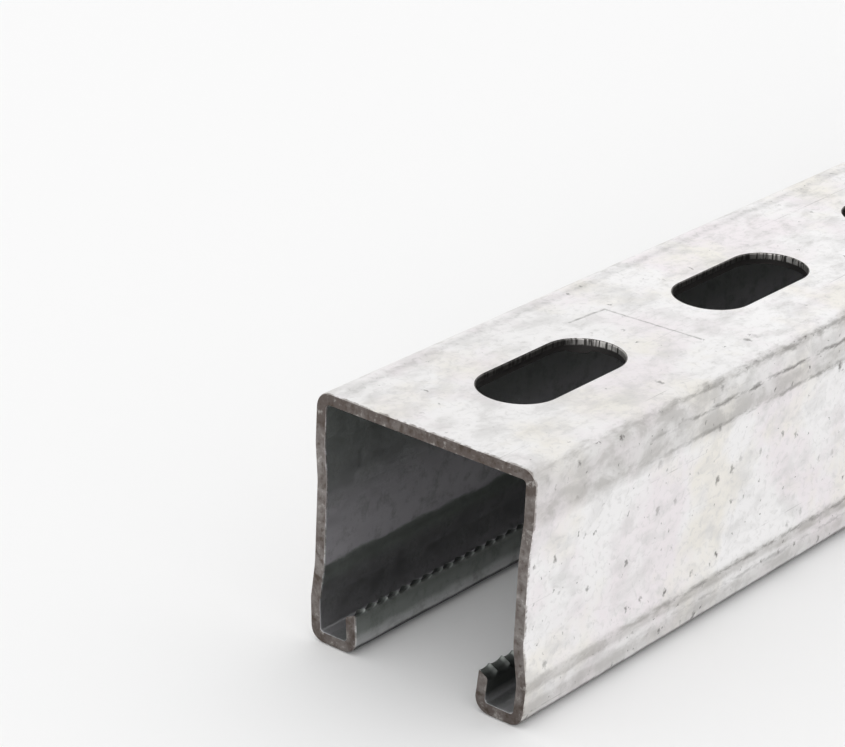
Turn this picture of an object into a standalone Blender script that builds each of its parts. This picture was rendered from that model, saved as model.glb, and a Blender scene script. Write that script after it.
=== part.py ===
# Slotted C channel for framing: one length of cold-rolled steel strip, 41 x 41 mm.
# It lies with its open side down: web on top, two side walls, two lips turned in and up.
# X runs across the channel, Y along it and Z up. The origin is below the middle of its
# length, on the surface that the lips rest on. Units are metres.

import math

import bmesh
import bpy
from mathutils import Vector

# Section, measured over the outside of the strip. Bend radii are those of the inside.
CHANNEL_WIDTH = 0.0413
CHANNEL_HEIGHT = 0.0413
STRIP_THICKNESS = 0.0020
WEB_BEND_RADIUS = 0.0010
LIP_BEND_RADIUS = 0.0005
LIP_WIDTH = 0.0095
LIP_HEIGHT = 0.0072

# The rolls close the section a little past square: the wall leans in below its lower
# shoulder, and each lip leans back towards its wall
SHOULDER_LEAN = 0.0005
LIP_LEAN = math.radians(5)

# Shallow recess rolled into each side wall, set in from the web above and the lip below
RECESS_DEPTH = 0.0010
RECESS_BELOW_WEB = 0.0088
RECESS_ABOVE_LIP = 0.0070
RECESS_TOP_RUN = 0.0056
RECESS_BOTTOM_RUN = 0.0060
RECESS_CREASE_RADIUS = 0.0120

# Stock length, and the slots punched through the web at one pitch
CHANNEL_LENGTH = 1.0000
SLOT_WIDTH = 0.0130
SLOT_LENGTH = 0.0290
SLOT_PITCH = 0.0508
FIRST_SLOT_FROM_END = 0.0300
LEAST_WEB_PAST_SLOT = 0.0030

# Teeth along the lips' free edges, and the strip that is trimmed off above their crests
TOOTH_PITCH = 0.00265
TOOTH_DEPTH = 0.0010
FIRST_CREST_FROM_END = 0.0025
EDGE_TRIM = 0.0005

# Fineness of the round stretches, and how far a cutter reaches past what it cuts
BEND_SEGMENTS = 8
CREASE_SEGMENTS = 4
SLOT_END_SEGMENTS = 12
CUTTER_OVERSHOOT = 0.0010
SHARP_EDGE_ANGLE = math.radians(30)
FLAT_FACE_ANGLE = math.radians(0.1)
COUNT_ROUNDING = 1e-6

HALF_WIDTH = CHANNEL_WIDTH / 2
NEAR_END = -CHANNEL_LENGTH / 2
LIP_TOP = LIP_HEIGHT + EDGE_TRIM


def clear_scene():
    for obj in list(bpy.data.objects):
        bpy.data.objects.remove(obj, do_unlink=True)


def new_collection(name):
    collection = bpy.data.collections.new(name)
    bpy.context.scene.collection.children.link(collection)
    return collection


def galvanised_steel():
    material = bpy.data.materials.new("galvanised_steel")
    material.use_nodes = True
    shader = material.node_tree.nodes["Principled BSDF"]
    shader.inputs["Base Color"].default_value = (0.66, 0.66, 0.63, 1.0)
    shader.inputs["Metallic"].default_value = 0.9
    shader.inputs["Roughness"].default_value = 0.42
    return material


def new_object(bm, name, collection):
    mesh = bpy.data.meshes.new(name)
    bm.to_mesh(mesh)
    bm.free()
    obj = bpy.data.objects.new(name, mesh)
    collection.objects.link(obj)
    return obj


def moved_copy(bm, geometry, offset):
    """Extrude edges or faces and move what was drawn out by the offset."""
    if isinstance(geometry[0], bmesh.types.BMEdge):
        drawn = bmesh.ops.extrude_edge_only(bm, edges=geometry)["geom"]
    else:
        drawn = bmesh.ops.extrude_face_region(bm, geom=geometry)["geom"]
    verts = [item for item in drawn if isinstance(item, bmesh.types.BMVert)]
    bmesh.ops.translate(bm, verts=verts, vec=offset)


def fillet(before, corner, after, radius, segments):
    """Points of the arc that rounds a corner between its two neighbours."""
    back = (before - corner).normalized()
    ahead = (after - corner).normalized()
    tangent = radius / math.tan(back.angle(ahead) / 2)
    centre = corner + (back + ahead).normalized() * math.hypot(radius, tangent)
    start = (corner + back * tangent - centre).normalized()
    end = (corner + ahead * tangent - centre).normalized()
    return [centre + radius * start.slerp(end, step / segments) for step in range(segments + 1)]


def half_section():
    """The strip's outer face, from the middle of the web to the free edge of one lip."""
    web_bend = (WEB_BEND_RADIUS + STRIP_THICKNESS, BEND_SEGMENTS)
    lip_bend = (LIP_BEND_RADIUS + STRIP_THICKNESS, BEND_SEGMENTS)
    crease = (RECESS_CREASE_RADIUS, CREASE_SEGMENTS)
    recess_face = HALF_WIDTH - RECESS_DEPTH
    recess_top = CHANNEL_HEIGHT - RECESS_BELOW_WEB
    lip_face = HALF_WIDTH - LIP_WIDTH
    start = Vector((0, CHANNEL_HEIGHT))
    end = Vector((lip_face + LIP_TOP * math.tan(LIP_LEAN), LIP_TOP))
    turns = [
        (Vector((HALF_WIDTH, CHANNEL_HEIGHT)), web_bend),
        (Vector((HALF_WIDTH, recess_top)), crease),
        (Vector((recess_face, recess_top - RECESS_TOP_RUN)), crease),
        (Vector((recess_face, RECESS_ABOVE_LIP + RECESS_BOTTOM_RUN)), crease),
        (Vector((HALF_WIDTH, RECESS_ABOVE_LIP)), crease),
        (Vector((HALF_WIDTH - SHOULDER_LEAN, 0)), lip_bend),
        (Vector((lip_face, 0)), lip_bend),
    ]
    corners = [start, *(corner for corner, _ in turns), end]
    section = [start]
    for index, (corner, (radius, segments)) in enumerate(turns, start=1):
        section += fillet(corners[index - 1], corner, corners[index + 1], radius, segments)
    return [*section, end]


def rolled_strip(collection):
    """The plain channel: half the section drawn along its length, mirrored and thickened."""
    bm = bmesh.new()
    points = [bm.verts.new((point.x, NEAR_END, point.y)) for point in half_section()]
    edges = [bm.edges.new(pair) for pair in zip(points, points[1:])]
    moved_copy(bm, edges, (0, CHANNEL_LENGTH, 0))
    bm.normal_update()
    web = max(bm.faces, key=lambda face: face.calc_center_median().z)
    if web.normal.z < 0:
        bmesh.ops.reverse_faces(bm, faces=bm.faces)
    channel = new_object(bm, "c_channel", collection)

    mirror = channel.modifiers.new("other_half", "MIRROR")
    mirror.use_axis = (True, False, False)
    mirror.merge_threshold = 0.0001

    wall = channel.modifiers.new("strip_thickness", "SOLIDIFY")
    wall.thickness = STRIP_THICKNESS
    wall.offset = -1
    wall.use_even_offset = True

    seamless = channel.modifiers.new("web_in_one_face", "DECIMATE")
    seamless.decimate_type = "DISSOLVE"
    seamless.angle_limit = FLAT_FACE_ANGLE
    return channel


def slot_outline():
    """A slot with round ends, seen from above and centred on the origin."""
    radius = SLOT_WIDTH / 2
    straight = SLOT_LENGTH / 2 - radius
    outline = []
    for end in (1, -1):
        for step in range(SLOT_END_SEGMENTS + 1):
            angle = math.pi * step / SLOT_END_SEGMENTS
            x = end * radius * math.cos(angle)
            y = end * (straight + radius * math.sin(angle))
            outline.append((x, y))
    return outline


def slot_count():
    room = CHANNEL_LENGTH - FIRST_SLOT_FROM_END - SLOT_LENGTH / 2 - LEAST_WEB_PAST_SLOT
    return math.floor(room / SLOT_PITCH + COUNT_ROUNDING) + 1


def slot_punches(collection):
    """A row of punches standing through the web, one for each slot."""
    bm = bmesh.new()
    foot_height = CHANNEL_HEIGHT - STRIP_THICKNESS - CUTTER_OVERSHOOT
    first = NEAR_END + FIRST_SLOT_FROM_END
    foot = bm.faces.new([bm.verts.new((x, first + y, foot_height)) for x, y in slot_outline()])
    moved_copy(bm, [foot], (0, 0, STRIP_THICKNESS + 2 * CUTTER_OVERSHOOT))
    bmesh.ops.recalc_face_normals(bm, faces=bm.faces)
    punches = new_object(bm, "slot_punches", collection)

    row = punches.modifiers.new("row", "ARRAY")
    row.count = slot_count()
    row.use_relative_offset = False
    row.use_constant_offset = True
    row.constant_offset_displace = (0, SLOT_PITCH, 0)
    return punches


def rack_outline():
    """The toothed outline along Y that bites into both lips' free edges, with its height."""
    back = LIP_TOP + CUTTER_OVERSHOOT
    first_crest = NEAR_END + FIRST_CREST_FROM_END
    crests_before = math.ceil(FIRST_CREST_FROM_END / TOOTH_PITCH) + 1
    crests_after = math.ceil((CHANNEL_LENGTH - FIRST_CREST_FROM_END) / TOOTH_PITCH) + 1
    teeth = []
    for half_step in range(-2 * crests_before, 2 * crests_after + 1):
        height = LIP_HEIGHT - TOOTH_DEPTH if half_step % 2 else LIP_HEIGHT
        teeth.append((first_crest + half_step * TOOTH_PITCH / 2, height))
    return [(teeth[0][0], back), *teeth, (teeth[-1][0], back)]


def lip_rack(collection):
    """One rack across the mouth that forms the teeth of both lips."""
    bm = bmesh.new()
    lean = LIP_TOP * math.tan(LIP_LEAN)
    lip_thickness = STRIP_THICKNESS / math.cos(LIP_LEAN)
    reach = HALF_WIDTH - LIP_WIDTH + lean + lip_thickness + CUTTER_OVERSHOOT
    left_end = bm.faces.new([bm.verts.new((-reach, y, z)) for y, z in rack_outline()])
    moved_copy(bm, [left_end], (2 * reach, 0, 0))
    bmesh.ops.recalc_face_normals(bm, faces=bm.faces)
    return new_object(bm, "lip_rack", collection)


def cut(piece, cutter):
    cutter.hide_render = True
    cutter.display_type = "WIRE"
    bite = piece.modifiers.new(cutter.name, "BOOLEAN")
    bite.operation = "DIFFERENCE"
    bite.object = cutter


def smooth_round_stretches(piece):
    """Smooth shading on every face, with sharp edges kept where the angle is large."""
    tree = bpy.data.node_groups.new("smooth_by_angle", "GeometryNodeTree")
    tree.is_modifier = True
    for flow in ("INPUT", "OUTPUT"):
        tree.interface.new_socket("Geometry", in_out=flow, socket_type="NodeSocketGeometry")
    source = tree.nodes.new("NodeGroupInput")
    result = tree.nodes.new("NodeGroupOutput")
    angle = tree.nodes.new("GeometryNodeInputMeshEdgeAngle")
    gentle = tree.nodes.new("FunctionNodeCompare")
    gentle.operation = "LESS_EQUAL"
    gentle.inputs["B"].default_value = SHARP_EDGE_ANGLE
    faces = tree.nodes.new("GeometryNodeSetShadeSmooth")
    edges = tree.nodes.new("GeometryNodeSetShadeSmooth")
    edges.domain = "EDGE"
    tree.links.new(angle.outputs["Unsigned Angle"], gentle.inputs["A"])
    tree.links.new(gentle.outputs["Result"], edges.inputs["Shade Smooth"])
    tree.links.new(source.outputs["Geometry"], faces.inputs["Geometry"])
    tree.links.new(faces.outputs["Geometry"], edges.inputs["Geometry"])
    tree.links.new(edges.outputs["Geometry"], result.inputs["Geometry"])
    piece.modifiers.new("smooth_by_angle", "NODES").node_group = tree


def build_channel():
    parts = new_collection("slotted_c_channel")
    cutters = new_collection("cutters")
    channel = rolled_strip(parts)
    channel.data.materials.append(galvanised_steel())
    cut(channel, slot_punches(cutters))
    cut(channel, lip_rack(cutters))
    smooth_round_stretches(channel)


clear_scene()
build_channel()
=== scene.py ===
import math

import bmesh
import bpy
from mathutils import Euler, Matrix, Vector


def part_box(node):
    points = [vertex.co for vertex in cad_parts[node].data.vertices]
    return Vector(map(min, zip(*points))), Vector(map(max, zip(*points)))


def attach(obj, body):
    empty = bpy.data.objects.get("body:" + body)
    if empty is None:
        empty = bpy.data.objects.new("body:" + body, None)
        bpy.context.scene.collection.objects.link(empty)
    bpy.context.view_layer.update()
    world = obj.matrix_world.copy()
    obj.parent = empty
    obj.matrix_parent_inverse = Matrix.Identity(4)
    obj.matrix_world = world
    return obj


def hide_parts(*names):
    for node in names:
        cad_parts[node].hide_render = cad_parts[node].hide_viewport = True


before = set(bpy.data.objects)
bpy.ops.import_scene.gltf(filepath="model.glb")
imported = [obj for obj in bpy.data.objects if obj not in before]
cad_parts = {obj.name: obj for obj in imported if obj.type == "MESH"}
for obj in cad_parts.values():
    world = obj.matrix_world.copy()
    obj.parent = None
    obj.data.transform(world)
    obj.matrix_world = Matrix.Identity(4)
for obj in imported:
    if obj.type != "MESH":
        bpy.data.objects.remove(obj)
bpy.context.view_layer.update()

# A slotted framing channel: galvanised steel strip, rolled to a C and sawn to length.
# It lies on its lips. X runs across it, Y along it from the near cut end, Z up.
mm = 0.001
low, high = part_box("c_channel")
width, length, height = high - low
nearEnd = low.y
maths = "ShaderNodeMath"
print("frame read:", [round(side / mm, 1) for side in (width, length, height)], "mm")


def addNode(tree, kind, feeds=(), **settings):
    # Adds one node, sets it, and feeds its sockets with values, nodes or their outputs
    node = tree.nodes.new(kind)
    for name, value in settings.items():
        setattr(node, name, value)
    for socket, value in (feeds.items() if isinstance(feeds, dict) else enumerate(feeds)):
        if isinstance(value, bpy.types.Node):
            value = value.outputs[0]
        if isinstance(value, bpy.types.NodeSocket):
            tree.links.new(value, node.inputs[socket])
        else:
            node.inputs[socket].default_value = value
    return node


def linearColour(hexCode):
    # sRGB hex, as a paint chart gives it, to the linear values that the shader takes
    parts = [int(hexCode[start:start + 2], 16) / 255 for start in (0, 2, 4)]
    return (*(part / 12.92 if part <= 0.04045 else ((part + 0.055) / 1.055) ** 2.4
              for part in parts), 1)


def newMaterial(name):
    material = bpy.data.materials.new(name)
    material.use_nodes = True
    return material, material.node_tree, material.node_tree.nodes["Principled BSDF"]


def newTree(name, inputs):
    # An empty modifier tree with its named inputs, each (type, value)
    tree = bpy.data.node_groups.new(name, "GeometryNodeTree")
    tree.is_modifier = True
    tree.interface.new_socket("Geometry", in_out="INPUT", socket_type="NodeSocketGeometry")
    tree.interface.new_socket("Geometry", in_out="OUTPUT", socket_type="NodeSocketGeometry")
    for label, (kind, value) in inputs.items():
        socket = tree.interface.new_socket(label, in_out="INPUT", socket_type="NodeSocket" + kind)
        socket.default_value = value
    return tree, tree.nodes.new("NodeGroupInput").outputs, tree.nodes.new("NodeGroupOutput")


def growFrom(piece, tree, values):
    # Hangs the tree on the piece and sets its inputs by their sockets' identifiers
    modifier = piece.modifiers.new(tree.name, "NODES")
    modifier.node_group = tree
    for item in tree.interface.items_tree:
        if item.in_out == "INPUT" and item.name in values:
            modifier[item.identifier] = values[item.name]


def settle(piece):
    # What the modifiers make becomes the piece's plain mesh
    graph = bpy.context.evaluated_depsgraph_get()
    made = bpy.data.meshes.new_from_object(
        piece.evaluated_get(graph), preserve_all_data_layers=True, depsgraph=graph)
    piece.modifiers.clear()
    piece.data = made
    made.name = piece.name


# The rolled section

section = {
    "strip": 2.0 * mm,             # thickness of the strip
    "webBend": 2.6 * mm,           # outside radius beside the web
    "lipBend": 2.5 * mm,           # outside radius at the lips
    "lipWidth": 9.5 * mm,
    "lipHeight": 7.2 * mm,         # up to the teeth's crests
    "lipLean": math.radians(5),    # the lips spring back towards their walls
    "shoulderLean": 0.5 * mm,
    "topInset": (0.0, 0.45 * mm),  # left and right wall: it sprang in beside the web
    "recessDepth": (0.6 * mm, 0.95 * mm),
    "recessBelowWeb": 8.8 * mm,
    "recessAboveLip": 7.0 * mm,
    "recessTopRun": 5.6 * mm,
    "recessBottomRun": 6.0 * mm,
    "creaseRadius": 12.0 * mm,
    "shoulderRadius": 5.0 * mm,
    "edgeRadius": 0.4 * mm,        # the slit edge of the strip, rounded over
    "bendSteps": 10,
    "creaseSteps": 5,
    "edgeSteps": 3,
}


def wallCorners(topInset, recessDepth):
    # Corners of one wall's outer face, from the web down and round to its lip's top
    bend = (section["lipBend"], section["bendSteps"])
    crease = (section["creaseRadius"], section["creaseSteps"])
    half = width / 2
    recessFace = half - recessDepth
    recessTop = height - section["recessBelowWeb"]
    recessFoot = section["recessAboveLip"]
    lipFace = half - section["lipWidth"]
    lipTop = section["lipHeight"]
    return [
        (half - topInset, height, section["webBend"], section["bendSteps"]),
        (half - topInset, recessTop, *crease),
        (recessFace, recessTop - section["recessTopRun"], *crease),
        (recessFace, recessFoot + section["recessBottomRun"], *crease),
        (half, recessFoot, section["shoulderRadius"], section["creaseSteps"]),
        (half - section["shoulderLean"], 0, *bend),
        (lipFace, 0, *bend),
        (lipFace + lipTop * math.tan(section["lipLean"]), lipTop,
         section["edgeRadius"], section["edgeSteps"]),
    ]


def outerCorners():
    # Corners of the outer face, each with its radius and steps, from the left lip's top to the right's
    left, right = (wallCorners(*sizes) for sizes in zip(section["topInset"], section["recessDepth"]))
    return [(-x, z, *rest) for x, z, *rest in reversed(left)] + right


def innerCorners(outer):
    # The outer corners moved in by the strip's thickness, back from the last to the first
    points = [Vector(corner[:2]) for corner in outer]
    ways = [(b - a).normalized() for a, b in zip(points, points[1:])]
    inner = []
    for index, (x, z, radius, steps) in enumerate(outer):
        before = ways[max(index - 1, 0)]
        after = ways[min(index, len(ways) - 1)]
        inward = Vector((before.y + after.y, -before.x - after.x)) / (1 + before.dot(after))
        turn = before.cross(after)
        moved = Vector((x, z)) + inward * section["strip"]
        thinner = section["strip"] if turn < 0 else -section["strip"] if turn > 0 else 0
        inner.append((moved.x, moved.y, radius - thinner, steps))
    return inner[::-1]


def roundCorner(before, corner, after, radius, steps):
    back = (before - corner).normalized()
    ahead = (after - corner).normalized()
    tangent = radius / math.tan(back.angle(ahead) / 2)
    centre = corner + (back + ahead).normalized() * math.hypot(radius, tangent)
    start = (corner + back * tangent - centre).normalized()
    end = (corner + ahead * tangent - centre).normalized()
    return [centre + radius * start.slerp(end, step / steps) for step in range(steps + 1)]


def outwardWays(before, arc, after):
    # Which way is out of the steel at each point of an arc; the outline runs clockwise
    ways = []
    run = [before, *arc, after]
    for last, here, following in zip(run, run[1:], run[2:]):
        heading = (here - last).normalized() + (following - here).normalized()
        ways.append(Vector((-heading.y, heading.x)).normalized())
    return ways


def sectionOutline():
    # The closed outline of the strip, as a mesh loop in the XZ plane. Each point knows whether the
    # teeth bite it, where it lies across the lip, whether it is inside, and which way is outward.
    outer = outerCorners()
    corners = outer + innerCorners(outer)
    last = len(outer) - 1
    mouthEdge = abs(outer[0][0])
    lipAcross = section["strip"] / math.cos(section["lipLean"])
    points, outward, bite, across, inner = [], [], [], [], []
    for index, (x, z, radius, steps) in enumerate(corners):
        before, after = (Vector(corners[side % len(corners)][:2]) for side in (index - 1, index + 1))
        arc = roundCorner(before, Vector((x, z)), after, radius, steps)
        points += arc
        outward += outwardWays(before, arc, after)
        bite += [float(index in (0, last, last + 1, len(corners) - 1))] * len(arc)
        across += [min(max((abs(point.x) - mouthEdge) / lipAcross, 0), 1) for point in arc]
        inner += [float(index > last)] * len(arc)
    loop = bpy.data.meshes.new("strip_section")
    edges = [(index, (index + 1) % len(points)) for index in range(len(points))]
    loop.from_pydata([(point.x, 0, point.y) for point in points], edges, [])
    for name, values in (("bite", bite), ("across", across), ("inner", inner)):
        loop.attributes.new(name, "FLOAT", "POINT").data.foreach_set("value", values)
    ways = loop.attributes.new("outward", "FLOAT_VECTOR", "POINT")
    ways.data.foreach_set("vector", [side for way in outward for side in (way.x, 0, way.y)])
    return loop


# The strip, swept from one cut end to the other

strip = {
    "Length": length,
    "Near End": nearEnd,
    "Edge Break": 0.14 * mm,       # the saw's sharp edge, dressed off
    "Break Run": 0.25 * mm,
    "Patch Scale": 300.0,          # patches of uneven dressing in a metre
    "Lips Within": 16.0 * mm,      # of the middle: further out is the wall
    "Lips Below": 10.0 * mm,       # up from the floor
    "Pockets Below": 8.0 * mm,
}


def rolledStripTree():
    tree, take, result = newTree("rolled_strip", {
        "Length": ("Float", 1.0), "Near End": ("Float", 0.0), "Edge Break": ("Float", 0.0),
        "Break Run": ("Float", 0.0), "Patch Scale": ("Float", 300.0), "Lips Within": ("Float", 0.0),
        "Lips Below": ("Float", 0.0), "Pockets Below": ("Float", 0.0), "Skin": ("Material", None),
        "Inside": ("Material", None), "Cut": ("Material", None)})
    # Four stations along the path: each cut, and the end of its dressed edge
    line = addNode(tree, "GeometryNodeMeshLine", {"Count": 4})
    path = addNode(tree, "GeometryNodeMeshToCurve", {"Mesh": line})
    index = addNode(tree, "GeometryNodeInputIndex")
    far = addNode(tree, maths, (index, 1.5), operation="GREATER_THAN")
    dressed = addNode(tree, maths, (addNode(tree, maths, (index, 3), operation="MODULO"), 0.5),
                      operation="GREATER_THAN")
    wayIn = addNode(tree, maths, (far, -2, 1), operation="MULTIPLY_ADD")
    run = addNode(tree, maths, (dressed, take["Break Run"]), operation="MULTIPLY")
    along = addNode(tree, maths, (far, take["Length"], take["Near End"]), operation="MULTIPLY_ADD")
    along = addNode(tree, maths, (run, wayIn, along), operation="MULTIPLY_ADD")
    spot = addNode(tree, "ShaderNodeCombineXYZ", {"Y": along})
    rail = addNode(tree, "GeometryNodeSetPosition", {"Geometry": path, "Position": spot})
    rail = addNode(tree, "GeometryNodeSetCurveNormal", {"Curve": rail}, mode="Z_UP")
    profile = addNode(tree, "GeometryNodeMeshToCurve", {"Mesh": take["Geometry"]})
    here = addNode(tree, "ShaderNodeSeparateXYZ", (addNode(tree, "GeometryNodeInputPosition"),))
    down = addNode(tree, maths, (here.outputs["Z"], -1), operation="MULTIPLY")
    flat = addNode(tree, "ShaderNodeCombineXYZ", (here.outputs["X"], down))
    profile = addNode(tree, "GeometryNodeSetPosition", {"Geometry": profile, "Position": flat})
    swept = addNode(tree, "GeometryNodeCurveToMesh",
                    {"Curve": rail, "Profile Curve": profile, "Fill Caps": True})
    swept = addNode(tree, "GeometryNodeFlipFaces", {"Mesh": swept})
    # The sharp edge of each cut is broken by 0.2 to 1.8 of the edge break, here more, there less
    here = addNode(tree, "ShaderNodeSeparateXYZ", (addNode(tree, "GeometryNodeInputPosition"),))
    fromCut = addNode(tree, maths, (here.outputs["Y"], take["Near End"]), operation="SUBTRACT")
    fromFar = addNode(tree, maths, (take["Length"], fromCut), operation="SUBTRACT")
    toCut = addNode(tree, maths, (fromCut, fromFar), operation="MINIMUM")
    atCut = addNode(tree, maths, (toCut, 0.00001), operation="LESS_THAN")
    patch = addNode(tree, "ShaderNodeTexNoise", {"Scale": take["Patch Scale"], "Detail": 2.0})
    uneven = addNode(tree, maths, (patch.outputs["Fac"], -1.6, -0.2), operation="MULTIPLY_ADD")
    inset = addNode(tree, maths, (take["Edge Break"], uneven), operation="MULTIPLY")
    outward = addNode(tree, "GeometryNodeInputNamedAttribute", {"Name": "outward"},
                      data_type="FLOAT_VECTOR")
    inset = addNode(tree, "ShaderNodeVectorMath", {0: outward, "Scale": inset}, operation="SCALE")
    swept = addNode(tree, "GeometryNodeSetPosition",
                    {"Geometry": swept, "Selection": atCut, "Offset": inset})
    done = addNode(tree, "GeometryNodeRealizeInstances", {"Geometry": swept})
    done = addNode(tree, "GeometryNodeSetMaterial", {"Geometry": done, "Material": take["Skin"]})
    # Painted shade: the inside and all round the lips take the darker zinc
    inner = addNode(tree, "GeometryNodeInputNamedAttribute", {"Name": "inner"}, data_type="FLOAT")
    inner = addNode(tree, maths, (inner, 0.4), operation="GREATER_THAN")
    aside = addNode(tree, maths, (here.outputs["X"],), operation="ABSOLUTE")
    within = addNode(tree, maths, (aside, take["Lips Within"]), operation="LESS_THAN")
    lip = addNode(tree, maths, (here.outputs["Z"], take["Lips Below"]), operation="LESS_THAN")
    lip = addNode(tree, maths, (within, lip), operation="MULTIPLY")
    shaded = addNode(tree, maths, (inner, lip), operation="MAXIMUM")
    facing = addNode(tree, "ShaderNodeSeparateXYZ", (addNode(tree, "GeometryNodeInputNormal"),))
    endwise = addNode(tree, maths, (facing.outputs["Y"],), operation="ABSOLUTE")
    # The dressed edges keep the bright skin, so the painted shade begins behind them, but not in the
    # lips' pockets
    behind = addNode(tree, maths, (endwise, 0.2), operation="LESS_THAN")
    pocket = addNode(tree, maths, (here.outputs["Z"], take["Pockets Below"]), operation="LESS_THAN")
    pocket = addNode(tree, maths, (pocket, inner), operation="MULTIPLY")
    behind = addNode(tree, maths, (behind, pocket), operation="MAXIMUM")
    shaded = addNode(tree, maths, (shaded, behind), operation="MULTIPLY")
    done = addNode(tree, "GeometryNodeSetMaterial",
                   {"Geometry": done, "Selection": shaded, "Material": take["Inside"]})
    ends = addNode(tree, maths, (endwise, 0.95), operation="GREATER_THAN")
    done = addNode(tree, "GeometryNodeSetMaterial",
                   {"Geometry": done, "Selection": ends, "Material": take["Cut"]})
    tree.links.new(done.outputs[0], result.inputs[0])
    return tree


# The lips' teeth

teeth = {
    "Near End": nearEnd,
    "Length": length,
    "Lip Lean": section["lipLean"],
    "Pitch": 2.65 * mm,
    "First Crest": 2.5 * mm,       # from the near cut
    "Mouth Depth": 0.55 * mm,      # of a notch on the side that faces the mouth
    "Wall Depth": 0.9 * mm,        # and on the side that faces the wall
    "Bevel": 0.7 * mm,             # by which the whole edge falls off towards the wall
    "Unevenness": 0.35,            # share by which one notch's depth differs from the next
    "Crest Wear": 0.15 * mm,
    "Crest Sharpness": 2.8,
    "Bevel Curve": 1.4,
    "Wander": 0.6 * mm,            # how far a crest may slide from its place
    "Wander Scale": 260.0,
    "Free Run": 1.5 * mm,          # from a cut, over which the sliding sets in
    "Seed": 4,
}
stationsPerTooth = 8
sliver = 0.2                       # of the way between stations, kept clear at an edge's ends


def stationLips(piece):
    # Cuts the long rounded edges of both lips at each eighth of a tooth, so that they can be bent
    mesh = bmesh.new()
    mesh.from_mesh(piece.data)
    bite = mesh.verts.layers.float["bite"]
    step = teeth["Pitch"] / stationsPerTooth
    first = nearEnd + teeth["First Crest"]
    rounded = {vert for vert in mesh.verts if vert[bite] > 0.5}
    longEdges = [edge for edge in mesh.edges if set(edge.verts) <= rounded
                 and abs(edge.verts[0].co.y - edge.verts[1].co.y) > 10 * step]
    # Each long face once, in an order that is the same in every run
    strips = dict.fromkeys(face for edge in longEdges for face in edge.link_faces
                           if set(face.verts) <= rounded)
    for edge in longEdges:
        tip, end = sorted(edge.verts, key=lambda vert: vert.co.y)
        index = math.ceil((tip.co.y - first) / step + sliver)
        while first + index * step < end.co.y - sliver * step:
            share = (first + index * step - tip.co.y) / (end.co.y - tip.co.y)
            between = next(link for link in tip.link_edges if link.other_vert(tip) is end)
            tip = bmesh.utils.edge_split(between, tip, share)[1]
            index += 1
    for face in strips:
        rows = sorted(face.verts, key=lambda vert: vert.co.y)
        rest = face
        for a, b in zip(rows[2:-2:2], rows[3:-2:2]):
            cutOff = bmesh.utils.face_split(rest, a, b)[0]
            rest = max((rest, cutOff), key=lambda part: len(part.verts))
    mesh.to_mesh(piece.data)
    mesh.free()


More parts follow.
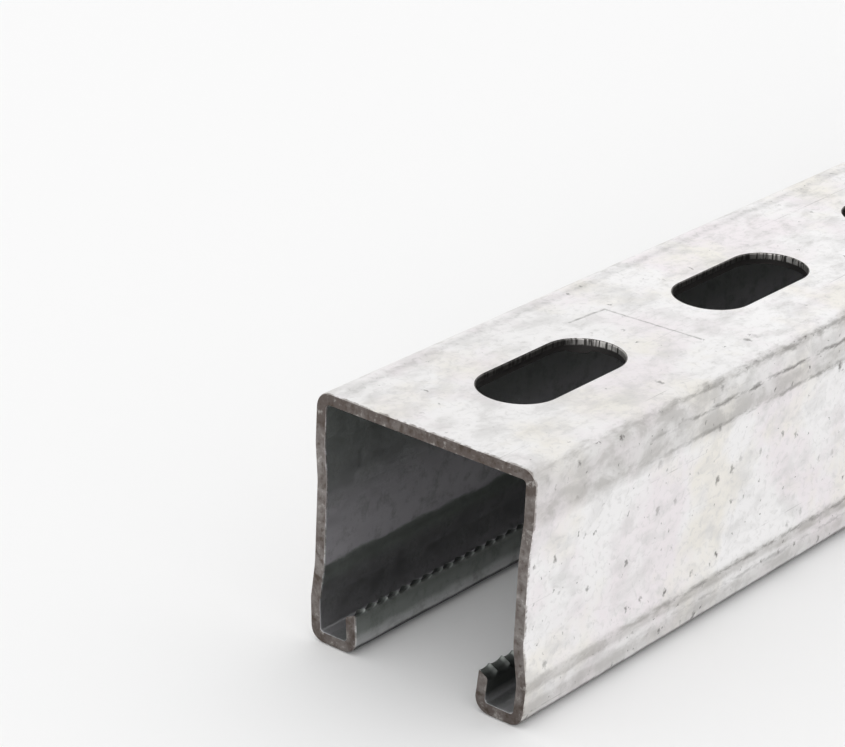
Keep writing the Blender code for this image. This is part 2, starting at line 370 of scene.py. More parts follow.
def toothedLipsTree():
    tree, take, result = newTree("toothed_lips", {
        "Near End": ("Float", 0.0), "Length": ("Float", 1.0), "Lip Lean": ("Float", 0.0),
        "Pitch": ("Float", 0.003), "First Crest": ("Float", 0.002), "Mouth Depth": ("Float", 0.001),
        "Wall Depth": ("Float", 0.001), "Bevel": ("Float", 0.0), "Unevenness": ("Float", 0.0),
        "Crest Wear": ("Float", 0.0), "Crest Sharpness": ("Float", 2.0), "Bevel Curve": ("Float", 1.0),
        "Wander": ("Float", 0.0), "Wander Scale": ("Float", 1.0), "Free Run": ("Float", 0.001),
        "Seed": ("Int", 0)})
    # Narrow crests with round notches between them, deeper towards the wall
    here = addNode(tree, "ShaderNodeSeparateXYZ", (addNode(tree, "GeometryNodeInputPosition"),))
    side = addNode(tree, maths, (here.outputs["X"],), operation="SIGN")
    fromCut = addNode(tree, maths, (here.outputs["Y"], take["Near End"]), operation="SUBTRACT")
    fromCrest = addNode(tree, maths, (fromCut, take["First Crest"]), operation="SUBTRACT")
    turns = addNode(tree, maths, (fromCrest, take["Pitch"]), operation="DIVIDE")
    swing = addNode(tree, maths, (addNode(tree, maths, (turns,), operation="FRACT"), 2, -1),
                    operation="MULTIPLY_ADD")
    swing = addNode(tree, maths, (swing,), operation="ABSOLUTE")
    swing = addNode(tree, maths, (swing, take["Crest Sharpness"]), operation="POWER")
    notch = addNode(tree, maths, (1, swing), operation="SUBTRACT")
    across = addNode(tree, "GeometryNodeInputNamedAttribute", {"Name": "across"}, data_type="FLOAT")
    depth = addNode(tree, "ShaderNodeMix", {0: across, 2: take["Mouth Depth"], 3: take["Wall Depth"]})
    tooth = addNode(tree, "ShaderNodeCombineXYZ",
                    (addNode(tree, maths, (turns,), operation="FLOOR"), side, take["Seed"]))
    chance = addNode(tree, "ShaderNodeTexWhiteNoise", {"Vector": tooth})
    uneven = addNode(tree, maths, (chance, take["Unevenness"]), operation="MULTIPLY")
    uneven = addNode(tree, maths, (1, uneven), operation="SUBTRACT")
    bitten = addNode(tree, maths, (depth, uneven), operation="MULTIPLY")
    bitten = addNode(tree, maths, (bitten, notch), operation="MULTIPLY")
    crest = addNode(tree, "ShaderNodeCombineXYZ",
                    (addNode(tree, maths, (turns,), operation="ROUND"), side, take["Seed"]))
    chance = addNode(tree, "ShaderNodeTexWhiteNoise", {"Vector": crest})
    worn = addNode(tree, maths, (chance, take["Crest Wear"]), operation="MULTIPLY")
    bitten = addNode(tree, maths, (worn, swing, bitten), operation="MULTIPLY_ADD")
    slope = addNode(tree, maths, (across, take["Bevel Curve"]), operation="POWER")
    bitten = addNode(tree, maths, (slope, take["Bevel"], bitten), operation="MULTIPLY_ADD")
    bite = addNode(tree, "GeometryNodeInputNamedAttribute", {"Name": "bite"}, data_type="FLOAT")
    bitten = addNode(tree, maths, (bitten, bite), operation="MULTIPLY")
    lean = addNode(tree, maths, (take["Lip Lean"],), operation="SINE")
    upright = addNode(tree, maths, (take["Lip Lean"],), operation="COSINE")
    way = addNode(tree, "ShaderNodeCombineXYZ",
                  {"X": addNode(tree, maths, (lean, side), operation="MULTIPLY"), "Z": upright})
    # Each crest stands a little off its place, by another pattern on each lip, but not at the cuts
    slide = addNode(tree, maths, (side, 7, fromCut), operation="MULTIPLY_ADD")
    slide = addNode(tree, "ShaderNodeTexNoise", {
        "W": slide, "Scale": take["Wander Scale"], "Detail": 0.0}, noise_dimensions="1D")
    slide = addNode(tree, maths, (slide.outputs["Fac"], 0.5), operation="SUBTRACT")
    slide = addNode(tree, maths, (slide, take["Wander"]), operation="MULTIPLY")
    fromFar = addNode(tree, maths, (take["Length"], fromCut), operation="SUBTRACT")
    toCut = addNode(tree, maths, (fromCut, fromFar), operation="MINIMUM")
    free = addNode(tree, "ShaderNodeMapRange", {"Value": toCut, "From Max": take["Free Run"]})
    slide = addNode(tree, maths, (slide, free), operation="MULTIPLY")
    slide = addNode(tree, maths, (slide, bite), operation="MULTIPLY")
    slide = addNode(tree, "ShaderNodeCombineXYZ", {"Y": slide})
    down = addNode(tree, maths, (bitten, -1), operation="MULTIPLY")
    drop = addNode(tree, "ShaderNodeVectorMath", (way, down, slide), operation="MULTIPLY_ADD")
    done = addNode(tree, "GeometryNodeSetPosition", {"Geometry": take["Geometry"], "Offset": drop})
    tree.links.new(done.outputs[0], result.inputs[0])
    return tree


# The slots, punched from the outer face

slots = {
    "Pitch": 50.8 * mm,
    "First": nearEnd + 30.0 * mm,
    "Count": 19,
}
punch = {
    "width": 13.0 * mm,
    "length": 29.0 * mm,
    "rim": 0.22 * mm,              # the edge that the punch draws down
    "fracture": 0.12 * mm,         # how far the torn lower part opens out
    "shearedTo": 0.45,             # share of the strip that is cut clean
    "tornFrom": 0.62,              # and share at which the torn part has opened out
    "flare": 1.5,                  # times as wide an opening at the very bottom
    "overshoot": 1.0 * mm,
    "endSteps": 24,
    "rimSteps": 4,
}


def punchBody():
    # One punch: rings of the slot's outline, each moved out by as much as the hole is wider there
    radius = punch["width"] / 2
    reach = punch["length"] / 2 - radius
    outline = []
    for centre, start in ((reach, 0), (-reach, math.pi)):
        for step in range(punch["endSteps"] + 1):
            angle = start + math.pi * step / punch["endSteps"]
            outline.append((centre, math.cos(angle), math.sin(angle)))
    rim = punch["rim"]
    levels = [(height + punch["overshoot"], rim)]
    for step in range(punch["rimSteps"] + 1):
        angle = math.pi / 2 * step / punch["rimSteps"]
        levels.append((height - rim * (1 - math.cos(angle)), rim * (1 - math.sin(angle))))
    levels.append((height - punch["shearedTo"] * section["strip"], 0))
    levels.append((height - punch["tornFrom"] * section["strip"], punch["fracture"]))
    bottom = height - section["strip"] - punch["overshoot"]
    levels.append((bottom, punch["fracture"] * punch["flare"]))
    points, faces, around = [], [], len(outline)
    for z, wider in levels:
        points += [((radius + wider) * across, centre + (radius + wider) * along, z)
                   for centre, across, along in outline]
    for level in range(len(levels) - 1):
        for step in range(around):
            after = (step + 1) % around
            faces.append((level * around + step, (level + 1) * around + step,
                          (level + 1) * around + after, level * around + after))
    faces.append(tuple(range(around)))
    faces.append(tuple(reversed(range((len(levels) - 1) * around, len(levels) * around))))
    body = bpy.data.meshes.new("slot_punch")
    body.from_pydata(points, [], faces)
    return body


def punchRowTree():
    tree, take, result = newTree("punch_row", {
        "First": ("Float", 0.0), "Pitch": ("Float", 0.05), "Count": ("Int", 1),
        "Edge": ("Material", None)})
    first = addNode(tree, "ShaderNodeCombineXYZ", {"Y": take["First"]})
    along = addNode(tree, "ShaderNodeCombineXYZ", {"Y": take["Pitch"]})
    row = addNode(tree, "GeometryNodeMeshLine",
                  {"Count": take["Count"], "Start Location": first, "Offset": along})
    row = addNode(tree, "GeometryNodeInstanceOnPoints", {"Points": row, "Instance": take["Geometry"]})
    row = addNode(tree, "GeometryNodeRealizeInstances", {"Geometry": row})
    row = addNode(tree, "GeometryNodeSetMaterial", {"Geometry": row, "Material": take["Edge"]})
    tree.links.new(row.outputs[0], result.inputs[0])
    return tree


def crispEdgesTree():
    # Smooth over the bends, sharp where two faces meet at more than the given angle
    tree, take, result = newTree("crisp_edges", {"Angle": ("Float", 0.5)})
    smooth = addNode(tree, "GeometryNodeSetShadeSmooth", {"Geometry": take["Geometry"]},
                     domain="FACE")
    soft = addNode(tree, maths, (addNode(tree, "GeometryNodeInputMeshEdgeAngle"), take["Angle"]),
                   operation="LESS_THAN")
    smooth = addNode(tree, "GeometryNodeSetShadeSmooth", {"Geometry": smooth, "Shade Smooth": soft},
                     domain="EDGE")
    tree.links.new(smooth.outputs[0], result.inputs[0])
    return tree


# What the four finishes of the channel share


def placeInMm(tree):
    place = addNode(tree, "ShaderNodeTexCoord").outputs["Object"]
    return addNode(tree, "ShaderNodeMapping", {"Vector": place, "Scale": (1 / mm, 1 / mm, 1 / mm)})


def stripPatterns(tree, noises):
    # Places in mm, on the channel and on the flat strip as it was before rolling, and the noises
    # that lie on the strip: mm across and along it, detail, roughness and distortion
    x, y, z = addNode(tree, "ShaderNodeSeparateXYZ", (placeInMm(tree),)).outputs
    below = addNode(tree, maths, (height / mm, z), operation="SUBTRACT")
    side = addNode(tree, maths, (x,), operation="SIGN")
    around = addNode(tree, maths, (side, below, x), operation="MULTIPLY_ADD")
    flat = addNode(tree, "ShaderNodeCombineXYZ", (around, y))
    noise = {}
    for name, (across, along, detail, roughness, distortion) in noises.items():
        drawn = addNode(tree, "ShaderNodeMapping", {
            "Vector": flat, "Scale": (1 / across, 1 / along, 1)})
        noise[name] = addNode(tree, "ShaderNodeTexNoise", {
            "Vector": drawn, "Scale": 1.0, "Detail": detail, "Roughness": roughness,
            "Distortion": distortion}, noise_dimensions="2D")
    return {"x": x, "y": y, "z": z, "flat": flat}, noise


def setStops(ramp, levels):
    # Gives the ramp a grey at each height in mm, just inside the two stops that it starts with
    stops = ramp.color_ramp.elements
    top = height / mm
    for level, grey in levels:
        stops.new(min(max(level / top, 0.0005), 0.9995)).color = (grey, grey, grey, 1)
    stops[0].color = (levels[0][1],) * 3 + (1,)
    stops[-1].color = (levels[-1][1],) * 3 + (1,)


def finishSteel(tree, shader, finish, base, layers, rough, relief):
    # Lays the finish's tones over its base, each as far as its share goes, on bare metal
    colour = linearColour(finish[base])
    for tone, share in layers:
        colour = addNode(tree, "ShaderNodeMix", {
            0: share, 6: colour, 7: linearColour(finish[tone])}, data_type="RGBA").outputs[2]
    tree.links.new(colour, shader.inputs["Base Color"])
    shader.inputs["Metallic"].default_value = 1.0
    if isinstance(rough, float):
        shader.inputs["Roughness"].default_value = rough
    else:
        tree.links.new(rough.outputs[0], shader.inputs["Roughness"])
    bump = addNode(tree, "ShaderNodeBump", {
        "Strength": 1.0, "Distance": finish["relief"], "Height": relief})
    tree.links.new(bump.outputs[0], shader.inputs["Normal"])


# Pre-galvanised skin: hot-dipped zinc, rolled and handled. It gives a pale satin metal with soft
# clouds, greyer bands of painted reflection along the bends and shoulders, glossier where the rolls
# pressed, broken dark lines, pits and scratches.

skin = {
    "pale": "f7f6f6",
    "rosy": "f3eef0",
    "warm": "f3f0ea",
    "shade": "d3d2d1",
    "reflectionGrey": "b0ada9",
    "line": "5e5a56",
    "pit": "55504d",
    "contactShadow": "45413e",
    "bare": "7d746e",
    "roughness": 0.42,
    "burnishedRoughness": 0.32,
    "relief": 0.03 * mm,
    # The grain of the spangle is under a millimetre and worn nearly flat: drawn finer than this,
    # it would not show
    "noises": {
        "cloud": (20.0, 20.0, 4.0, 0.6, 0.0),
        "crease": (5.0, 7.5, 5.0, 0.62, 0.25),
        "grain": (1.1, 1.1, 2.0, 0.6, 0.5),
        "streak": (1.8, 72.0, 4.0, 0.6, 0.0),
        "flake": (2.0, 4.4, 5.0, 0.7, 0.0),
        "run": (1.6, 4.5, 4.0, 0.7, 0.0),
        "scratch": (0.55, 60.0, 1.0, 0.5, 0.0),
        "warp": (0.8, 0.8, 2.0, 0.5, 0.0),
    },
    # Height on the side wall in mm, and how much grey painted reflection lies there, glossier where
    # the rolls burnished it
    "bands": ((0.0, 0.6), (0.8, 0.35), (1.8, 0.3), (2.8, 0.55), (3.8, 0.5), (4.6, 0.1), (5.6, 0.15),
              (6.3, 0.75), (7.5, 0.65), (8.3, 0.05), (9.0, 0.0), (31.6, 0.0), (32.8, 0.2), (33.6, 0.7),
              (36.0, 0.6), (37.0, 0.3), (39.6, 0.35), (40.3, 0.7), (41.1, 0.3), (41.2, 0.0)),
    # Height in mm of each thin dark line, and how plain it is away from the cut ends
    "lines": ((4.6, 0.4), (7.4, 0.65), (33.3, 0.6), (37.0, 0.8), (40.4, 0.55)),
    "lineHalfWidth": 0.55,
    "lineStart": (16.0, 48.0),     # mm from a cut, over which the lines come up
    # Near a cut end the whole upper bend is greyer
    "endBand": ((0.0, 0.0), (31.5, 0.0), (33.2, 0.8), (38.0, 0.85), (40.6, 1.0), (41.2, 0.3)),
    "endZone": (75.0, 33.75),      # mm from the cut, over which that comes in
    # Scratches on the web, each from (x, mm from the near cut) to (x, mm from the near cut), with
    # its half width in mm and how plain it is; the last ones are a smeared streak by the bend
    "scribes": (((-9.0, 47.0), (-8.4, 55.4), 0.32, 0.9), ((-8.4, 55.4), (9.6, 56.3), 0.32, 0.8),
                ((13.2, 96.0), (13.9, 128.0), 0.32, 0.9), ((12.6, 150.0), (13.3, 171.0), 0.32, 0.9),
                ((-16.2, 1.5), (-16.9, 24.0), 1.2, 0.32), ((-16.9, 24.0), (-16.4, 170.0), 1.2, 0.3)),
    "scribeShake": 0.5,            # how crookedly they run
    "contactShadowLine": (1.8, 1.35),       # mm up, over which the painted contact shadow comes in
    "bareEdge": 0.25,              # mm of zinc torn off beside the cut
    # Spacing of the pits in mm, how round they are, where less is longer across the strip, and
    # the radius of the largest as a share of the spacing
    "pits": ((4.6, 0.6, 0.135), (3.2, 0.9, 0.09)),
    "pitWarp": 1.3,                # mm, by which their outlines are bent out of round
    "pitRarity": (0.12, 0.78),     # on the walls and on the web
}


def zincSkinMaterial():
    material, tree, shader = newMaterial("zinc_skin")
    at, noise = stripPatterns(tree, skin["noises"])
    fromMiddle = addNode(tree, maths, (at["y"],), operation="ABSOLUTE")
    fromEnd = addNode(tree, maths, (length / 2 / mm, fromMiddle), operation="SUBTRACT")
    # Clouds of faint colour, soft creased shading and a fine grey grain
    tints = addNode(tree, "ShaderNodeSeparateColor", (noise["cloud"].outputs["Color"],))
    rosy = addNode(tree, "ShaderNodeMapRange", {
        "Value": tints.outputs[0], "From Min": 0.45, "From Max": 0.62})
    warm = addNode(tree, "ShaderNodeMapRange", {
        "Value": tints.outputs[1], "From Min": 0.5, "From Max": 0.68})
    creased = addNode(tree, "ShaderNodeMapRange", {
        "Value": noise["crease"], "From Min": 0.52, "From Max": 0.28, "To Max": 0.5})
    grainy = addNode(tree, "ShaderNodeMapRange", {
        "Value": noise["grain"], "From Min": 0.54, "From Max": 0.72, "To Max": 0.38})
    # Bands of painted reflection along the walls, burnished glossier too, with ragged borders
    drift = addNode(tree, maths, (noise["flake"], 0.5), operation="SUBTRACT")
    ragged = addNode(tree, maths, (drift, 1.5, at["z"]), operation="MULTIPLY_ADD")
    share = addNode(tree, maths, (ragged, height / mm), operation="DIVIDE")
    bands = addNode(tree, "ShaderNodeValToRGB", (share,))
    setStops(bands, skin["bands"])
    # Near the cuts the whole upper bend is grey
    bend = addNode(tree, "ShaderNodeValToRGB", (share,))
    setStops(bend, skin["endBand"])
    zoneNone, zoneFull = skin["endZone"]
    nearCut = addNode(tree, "ShaderNodeMapRange", {
        "Value": fromEnd, "From Min": zoneNone, "From Max": zoneFull, "To Max": 0.7})
    bend = addNode(tree, maths, (bend, nearCut), operation="MULTIPLY")
    burnishAndReflection = addNode(tree, maths, (bands, bend), operation="MAXIMUM")
    patchy = addNode(tree, "ShaderNodeMapRange", {
        "Value": noise["crease"], "From Min": 0.6, "From Max": 0.42, "To Min": 0.55, "To Max": 1.0})
    burnishAndReflection = addNode(tree, maths, (burnishAndReflection, patchy), operation="MULTIPLY")
    # Thin dark lines at the creases, broken into runs
    half = skin["lineHalfWidth"]
    levels = ((0.0, 0.0),)
    for level, strength in skin["lines"]:
        levels += ((level - half, 0.0), (level, strength), (level + half, 0.0))
    lines = addNode(tree, "ShaderNodeValToRGB", (share,))
    setStops(lines, levels + ((height / mm, 0.0),))
    runs = addNode(tree, "ShaderNodeMapRange", {
        "Value": noise["run"], "From Min": 0.4, "From Max": 0.56})
    lineNone, lineFull = skin["lineStart"]
    started = addNode(tree, "ShaderNodeMapRange", {
        "Value": fromEnd, "From Min": lineNone, "From Max": lineFull})
    lines = addNode(tree, maths, (lines, runs), operation="MULTIPLY")
    lines = addNode(tree, maths, (lines, started), operation="MULTIPLY")
    # Long scratches, broken too
    scratch = addNode(tree, "ShaderNodeMapRange", {
        "Value": noise["scratch"], "From Min": 0.78, "From Max": 0.84, "To Max": 0.3})
    scratch = addNode(tree, maths, (scratch, runs), operation="MULTIPLY")
    marks = addNode(tree, maths, (lines, scratch), operation="MAXIMUM")
    shaken = addNode(tree, "ShaderNodeVectorMath", {
        0: noise["flake"].outputs["Color"], 1: (skin["scribeShake"], skin["scribeShake"], 0),
        2: at["flat"]}, operation="MULTIPLY_ADD")
    for start, end, halfWidth, strength in skin["scribes"]:
        start, end = (Vector((x, along + nearEnd / mm, 0)) for x, along in (start, end))
        run = end - start
        offset = addNode(tree, "ShaderNodeVectorMath", (shaken, start), operation="SUBTRACT")
        share = addNode(tree, "ShaderNodeVectorMath", (offset, run / run.length_squared),
                        operation="DOT_PRODUCT")
        share = addNode(tree, maths, (share.outputs["Value"], 1), operation="MULTIPLY", use_clamp=True)
        nearest = addNode(tree, "ShaderNodeVectorMath", {0: run, "Scale": share}, operation="SCALE")
        apart = addNode(tree, "ShaderNodeVectorMath", (offset, nearest), operation="DISTANCE")
        worn = addNode(tree, maths, (noise["grain"], strength), operation="MULTIPLY")
        scribed = addNode(tree, "ShaderNodeMapRange", {
            "Value": apart.outputs["Value"], "From Min": halfWidth, "From Max": 0.15 * halfWidth,
            "To Max": worn})
        marks = addNode(tree, maths, (marks, scribed), operation="MAXIMUM")
    # Painted contact shadow in a thin line where the wall's foot meets the floor
    footNone, footFull = skin["contactShadowLine"]
    foot = addNode(tree, maths, (drift, 0.8, at["z"]), operation="MULTIPLY_ADD")
    foot = addNode(tree, "ShaderNodeMapRange", {
        "Value": foot, "From Min": footNone, "From Max": footFull, "To Max": 0.75})
    # The blade tore the zinc off in flakes beside the cut
    bare = addNode(tree, maths, (drift, 1.4, fromEnd), operation="MULTIPLY_ADD")
    bare = addNode(tree, "ShaderNodeMapRange", {
        "Value": bare, "From Min": skin["bareEdge"], "From Max": 0.0, "To Max": 0.7})
    # Pits: ragged strokes across the strip and dots, a millimetre or less, more on the walls
    warped = addNode(tree, "ShaderNodeVectorMath", {
        0: noise["warp"].outputs["Color"], 1: (skin["pitWarp"], skin["pitWarp"], 0),
        2: at["flat"]}, operation="MULTIPLY_ADD")
    onWalls, onWeb = skin["pitRarity"]
    least = addNode(tree, "ShaderNodeMapRange", {
        "Value": at["z"], "From Min": 40.0, "From Max": 41.0, "To Min": onWalls, "To Max": onWeb})
    pit = 0.0
    for spacing, squash, largest in skin["pits"]:
        short = addNode(tree, "ShaderNodeMapping", {"Vector": warped, "Scale": (squash, 1, 1)})
        cell = addNode(tree, "ShaderNodeTexVoronoi", {
            "Vector": short, "Scale": 1 / spacing, "Randomness": 1.0}, voronoi_dimensions="2D")
        rare = addNode(tree, "ShaderNodeSeparateColor", (cell.outputs["Color"],))
        size = addNode(tree, "ShaderNodeMapRange", {
            "Value": rare.outputs[0], "From Min": least, "From Max": 1.0, "To Max": largest})
        core = addNode(tree, maths, (size, 0.3), operation="MULTIPLY")
        hole = addNode(tree, "ShaderNodeMapRange", {
            "Value": cell.outputs["Distance"], "From Min": size, "From Max": core})
        darkness = addNode(tree, maths, (rare.outputs[1], 0.65, 0.15), operation="MULTIPLY_ADD")
        hole = addNode(tree, maths, (hole, darkness), operation="MULTIPLY")
        pit = addNode(tree, maths, (hole, pit), operation="MAXIMUM")
    rough = addNode(tree, "ShaderNodeMapRange", {
        "Value": burnishAndReflection, "To Min": skin["roughness"], "To Max": skin["burnishedRoughness"]})
    relief = addNode(tree, maths, (noise["streak"], 0.2, noise["crease"]), operation="MULTIPLY_ADD")
    relief = addNode(tree, maths, (pit, -1.5, relief), operation="MULTIPLY_ADD")
    relief = addNode(tree, maths, (marks, -1.0, relief), operation="MULTIPLY_ADD")
    layers = (("rosy", rosy), ("warm", warm), ("shade", creased), ("shade", grainy),
              ("reflectionGrey", burnishAndReflection), ("line", marks), ("contactShadow", foot), ("bare", bare), ("pit", pit))
    finishSteel(tree, shader, skin, "pale", layers, rough, relief)
    return material


# The same zinc darkened as painted shade inside the channel and on the lips: it looks dark, slightly
# green, a little glossy, and clearer, as painted light, on the raised back of the recess.

paintedShadeFinish = {
    "dark": "a3a8a4",
    "clear": "cdcacf",
    "stain": "7c7e7b",
    "paintedShadow": "353635",
    "relief": 0.04 * mm,
    "noises": {
        "flake": (2.4, 7.2, 5.0, 0.65, 0.0),
        "blot": (3.5, 3.5, 6.0, 0.7, 0.0),
        "streak": (1.2, 36.0, 4.0, 0.6, 0.0),
    },
    # Height in mm, and how much painted light, in the clear tone, lies there
    "paintedLight": ((0.0, 0.3), (1.6, 0.3), (1.9, 0.5), (3.0, 0.4), (3.7, 0.0), (7.0, 0.0), (7.9, 0.7),
                  (9.0, 0.6), (11.0, 0.0), (12.8, 0.0), (13.4, 1.0), (22.0, 0.9), (27.0, 0.35),
                  (33.0, 0.1), (41.2, 0.0)),
    # Height in mm, and how much painted shadow lies there: under the lips and between their teeth
    "paintedShadowLevels": ((0.0, 1.0), (1.4, 1.0), (1.8, 0.05), (3.0, 0.05), (3.8, 0.35), (5.2, 0.4),
              (6.2, 0.5), (6.8, 0.25), (7.2, 0.2), (7.5, 0.0), (11.0, 0.0), (12.0, 0.35),
              (12.8, 0.35), (13.3, 0.0), (41.2, 0.0)),
    # The lips' backs, towards the walls, get the most painted shade: mm from the middle, and mm up
    "backFrom": (11.9, 12.9),
    "backAbove": (2.4, 3.6),
    "backShade": 0.8,
    "lipsWithin": 16.5,            # mm from the middle
    "wallFoot": 8.2,               # mm up
}


def paintedShadeZincMaterial():
    material, tree, shader = newMaterial("painted_shade_zinc")
    at, noise = stripPatterns(tree, paintedShadeFinish["noises"])
    # The lips are told from the walls beside them, whose foot gets as much painted light as the steel
    # above it
    aside = addNode(tree, maths, (at["x"],), operation="ABSOLUTE")
    wall = addNode(tree, maths, (aside, paintedShadeFinish["lipsWithin"]), operation="GREATER_THAN")
    foot = addNode(tree, maths, (wall, paintedShadeFinish["wallFoot"]), operation="MULTIPLY")
    z = addNode(tree, maths, (at["z"], foot), operation="MAXIMUM")
    drift = addNode(tree, maths, (noise["flake"], 0.5), operation="SUBTRACT")
    ragged = addNode(tree, maths, (drift, 2.0, z), operation="MULTIPLY_ADD")
    share = addNode(tree, maths, (ragged, height / mm), operation="DIVIDE")
    # Painted light: the clear tone, laid by height
    clear = addNode(tree, "ShaderNodeValToRGB", (share,))
    setStops(clear, paintedShadeFinish["paintedLight"])
    stained = addNode(tree, "ShaderNodeMapRange", {
        "Value": noise["blot"], "From Min": 0.5, "From Max": 0.72, "To Max": 0.5})
    # Painted shadow: the soot tone under the lips, between their teeth and on the lips' backs
    share = addNode(tree, maths, (drift, 0.8, z), operation="MULTIPLY_ADD")
    share = addNode(tree, maths, (share, height / mm), operation="DIVIDE")
    paintedShadowShare = addNode(tree, "ShaderNodeValToRGB", (share,))
    setStops(paintedShadowShare, paintedShadeFinish["paintedShadowLevels"])
    backNone, backFull = paintedShadeFinish["backFrom"]
    back = addNode(tree, "ShaderNodeMapRange", {
        "Value": aside, "From Min": backNone, "From Max": backFull})
    upperNone, upperFull = paintedShadeFinish["backAbove"]
    upper = addNode(tree, "ShaderNodeMapRange", {
        "Value": z, "From Min": upperNone, "From Max": upperFull, "To Max": paintedShadeFinish["backShade"]})
    back = addNode(tree, maths, (back, upper), operation="MULTIPLY")
    lip = addNode(tree, maths, (1, wall), operation="SUBTRACT")
    back = addNode(tree, maths, (back, lip), operation="MULTIPLY")
    paintedShadowShare = addNode(tree, maths, (paintedShadowShare, back), operation="MAXIMUM")
    rough = addNode(tree, "ShaderNodeMapRange", {
        "Value": noise["blot"], "From Min": 0.3, "From Max": 0.7, "To Min": 0.35, "To Max": 0.55})
    relief = addNode(tree, maths, (noise["streak"], noise["blot"]), operation="ADD")
    layers = (("clear", clear), ("stain", stained), ("paintedShadow", paintedShadowShare))
    finishSteel(tree, shader, paintedShadeFinish, "dark", layers, rough, relief)
    return material


# The sawn end: bare steel cut cold, torn by the blade and then left to tarnish. It gives a
# brown-grey mottle with brighter smears and dark specks.

sawn = {
    "steel": "888380",
    "tarnish": "645c58",
    "rust": "4d433b",
    "smear": "bdbab6",
    "roughness": 0.5,
    "relief": 0.15 * mm,
    "mottle": 2.6,                 # mm
    "fleck": 1.3,
    "fleckShift": (31, 7, 12),     # so that flecks and mottle don't fall together
    # Height in mm, and how far the tarnish has gone there
    "tarnished": ((0.0, 0.75), (8.0, 0.6), (12.0, 0.15), (32.0, 0.2), (36.0, 0.5), (38.5, 0.85),
                  (41.2, 0.95)),
}


def sawnSteelMaterial():
    material, tree, shader = newMaterial("sawn_steel")
    inMm = placeInMm(tree)
    z = addNode(tree, "ShaderNodeSeparateXYZ", (inMm,)).outputs["Z"]
    patch = addNode(tree, "ShaderNodeTexNoise", {
        "Vector": inMm, "Scale": 1 / sawn["mottle"], "Detail": 5.0, "Roughness": 0.68})
    share = addNode(tree, maths, (z, height / mm), operation="DIVIDE")
    level = addNode(tree, "ShaderNodeValToRGB", (share,))
    setStops(level, sawn["tarnished"])
    mottle = addNode(tree, "ShaderNodeMapRange", {
        "Value": patch, "From Min": 0.38, "From Max": 0.62, "To Min": -0.4, "To Max": 0.6})
    tarnished = addNode(tree, maths, (level, mottle), operation="ADD", use_clamp=True)
    moved = addNode(tree, "ShaderNodeMapping", {"Vector": inMm, "Location": sawn["fleckShift"]})
    fleck = addNode(tree, "ShaderNodeTexNoise", {
        "Vector": moved, "Scale": 1 / sawn["fleck"], "Detail": 4.0, "Roughness": 0.65})
    rusty = addNode(tree, "ShaderNodeMapRange", {
        "Value": fleck, "From Min": 0.47, "From Max": 0.34, "To Max": 0.75})
    smeared = addNode(tree, "ShaderNodeMapRange", {
        "Value": fleck, "From Min": 0.58, "From Max": 0.7, "To Max": 0.6})
    relief = addNode(tree, maths, (patch, fleck), operation="ADD")
    layers = (("tarnish", tarnished), ("rust", rusty), ("smear", smeared))
    finishSteel(tree, shader, sawn, "steel", layers, sawn["roughness"], relief)
    return material


# The slots' walls: sheared bright for the upper half and torn dull below it, with upright lines.
# The far end of each slot, whose wall faces the front, gets a painted highlight and is brightest.

sheared = {
    "dull": "6c6a68",
    "paintedHighlight": "d2cfcc",
    "groove": "4b4947",
    "torn": "454342",
    "roughness": 0.45,
    "tornRoughness": 0.65,
    "relief": 0.03 * mm,
    "grooveWidth": 0.45,           # mm
    "grooveStretch": 12,
    "tornBelow": 0.5,              # share of the strip's thickness
}


def punchedEdgeMaterial():
    material, tree, shader = newMaterial("sheared_steel")
    inMm = placeInMm(tree)
    z = addNode(tree, "ShaderNodeSeparateXYZ", (inMm,)).outputs["Z"]
    upright = addNode(tree, "ShaderNodeMapping", {
        "Vector": inMm, "Scale": (1, 1, 1 / sheared["grooveStretch"])})
    groove = addNode(tree, "ShaderNodeTexNoise", {
        "Vector": upright, "Scale": 1 / sheared["grooveWidth"], "Detail": 2.0})
    grooved = addNode(tree, "ShaderNodeMapRange", {
        "Value": groove, "From Min": 0.47, "From Max": 0.58})
    # Painted highlight: the wall facing the front, at each slot's far end, takes the bright tone
    outward = addNode(tree, "ShaderNodeNewGeometry").outputs["Normal"]
    outward = addNode(tree, "ShaderNodeSeparateXYZ", (outward,)).outputs["Y"]
    farEnd = addNode(tree, "ShaderNodeMapRange", {
        "Value": outward, "From Min": -0.3, "From Max": -0.95})
    wavy = addNode(tree, maths, (groove, 0.5, z), operation="MULTIPLY_ADD")
    tornLevel = (height - sheared["tornBelow"] * section["strip"]) / mm
    torn = addNode(tree, "ShaderNodeMapRange", {
        "Value": wavy, "From Min": tornLevel + 0.35, "From Max": tornLevel + 0.1})
    rough = addNode(tree, "ShaderNodeMapRange", {
        "Value": torn, "To Min": sheared["roughness"], "To Max": sheared["tornRoughness"]})
    layers = (("paintedHighlight", farEnd), ("groove", grooved), ("torn", torn))
    finishSteel(tree, shader, sheared, "dull", layers, rough, groove)
    return material


zincSkin = zincSkinMaterial()
paintedShadeZinc = paintedShadeZincMaterial()
sawnSteel = sawnSteelMaterial()
punchedEdge = punchedEdgeMaterial()


# The channel

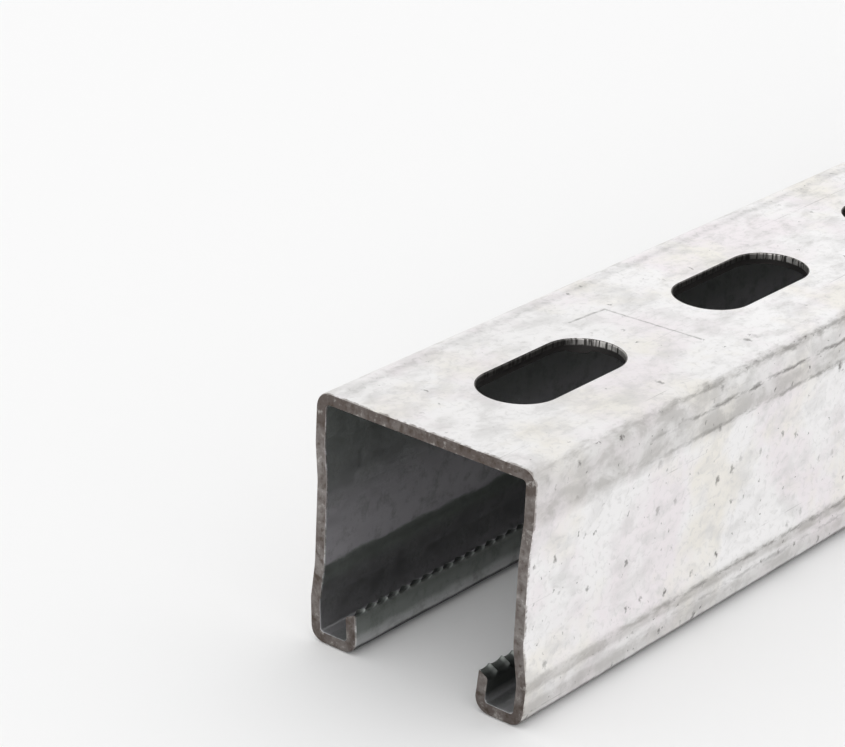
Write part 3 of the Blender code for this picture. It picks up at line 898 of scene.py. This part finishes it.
channel = bpy.data.objects.new("c_channel_rolled", sectionOutline())
bpy.context.scene.collection.objects.link(channel)
punches = bpy.data.objects.new("slot_punches", punchBody())
bpy.context.scene.collection.objects.link(punches)
growFrom(punches, punchRowTree(), {**slots, "Edge": punchedEdge})
settle(punches)
growFrom(channel, rolledStripTree(), {
    **strip, "Skin": zincSkin, "Inside": paintedShadeZinc, "Cut": sawnSteel})
cut = channel.modifiers.new("slots", "BOOLEAN")
cut.operation = "DIFFERENCE"
cut.solver = "EXACT"
cut.material_mode = "TRANSFER"
cut.object = punches
settle(channel)
print("slots punched:", len(channel.data.polygons), "faces")
stationLips(channel)
growFrom(channel, toothedLipsTree(), teeth)
growFrom(channel, crispEdgesTree(), {"Angle": math.radians(35)})
even = channel.modifiers.new("even_shading", "WEIGHTED_NORMAL")
even.keep_sharp = True
settle(channel)
bpy.data.objects.remove(punches)
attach(channel, "root")
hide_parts("c_channel")
print("channel rolled:", len(channel.data.polygons), "faces")


# A pale paper floor

ground = {
    "reach": 6.0,
    "level": -0.1 * mm,
    "paper": "f3f3f3",
    "roughness": 0.9,
}
floorMesh = bpy.data.meshes.new("floor")
floorMesh.from_pydata([(across * ground["reach"], along * ground["reach"], ground["level"])
                       for across, along in ((-1, -1), (1, -1), (1, 1), (-1, 1))], [], [(0, 1, 2, 3)])
floor = bpy.data.objects.new("floor", floorMesh)
bpy.context.scene.collection.objects.link(floor)
paper, tree, shader = newMaterial("pale_paper")
shader.inputs["Base Color"].default_value = linearColour(ground["paper"])
shader.inputs["Roughness"].default_value = ground["roughness"]
floorMesh.materials.append(paper)

# A white room lights the steel from all round, and a broad soft light fills in from the front right

light = {
    "room": 1.0,
    "fill": 0.6,
    "fillSpread": math.radians(31),
    "fillFrom": (0.9, -1.8, 0.8),
}
world = bpy.data.worlds.new("soft_room")
world.use_nodes = True
world.node_tree.nodes["Background"].inputs["Color"].default_value = (1, 1, 1, 1)
world.node_tree.nodes["Background"].inputs["Strength"].default_value = light["room"]
bpy.context.scene.world = world

lamp = bpy.data.lights.new("soft_fill", "SUN")
lamp.energy = light["fill"]
lamp.angle = light["fillSpread"]
lampPost = bpy.data.objects.new("soft_fill", lamp)
bpy.context.scene.collection.objects.link(lampPost)
lampPost.rotation_euler = (-Vector(light["fillFrom"])).to_track_quat("-Z", "Y").to_euler()

# The camera stands where the photo's did, by a fit to the cut end, the slots and the long edges

camera = {
    "lens": 133.52,
    "at": (0.2513, nearEnd - 0.3210, 0.2284),
    "down": math.radians(23.62),
    "turn": math.radians(38.17),
    "roll": math.radians(2.636),
}
view = bpy.data.cameras.new("photo_view")
view.lens = camera["lens"]
eye = bpy.data.objects.new("photo_view", view)
bpy.context.scene.collection.objects.link(eye)
eye.matrix_world = (Matrix.Translation(camera["at"])
                    @ Euler((math.pi / 2 - camera["down"], 0, camera["turn"])).to_matrix().to_4x4()
                    @ Matrix.Rotation(camera["roll"], 4, "Z"))
bpy.context.scene.camera = eye
bpy.context.scene.view_settings.view_transform = "Standard"
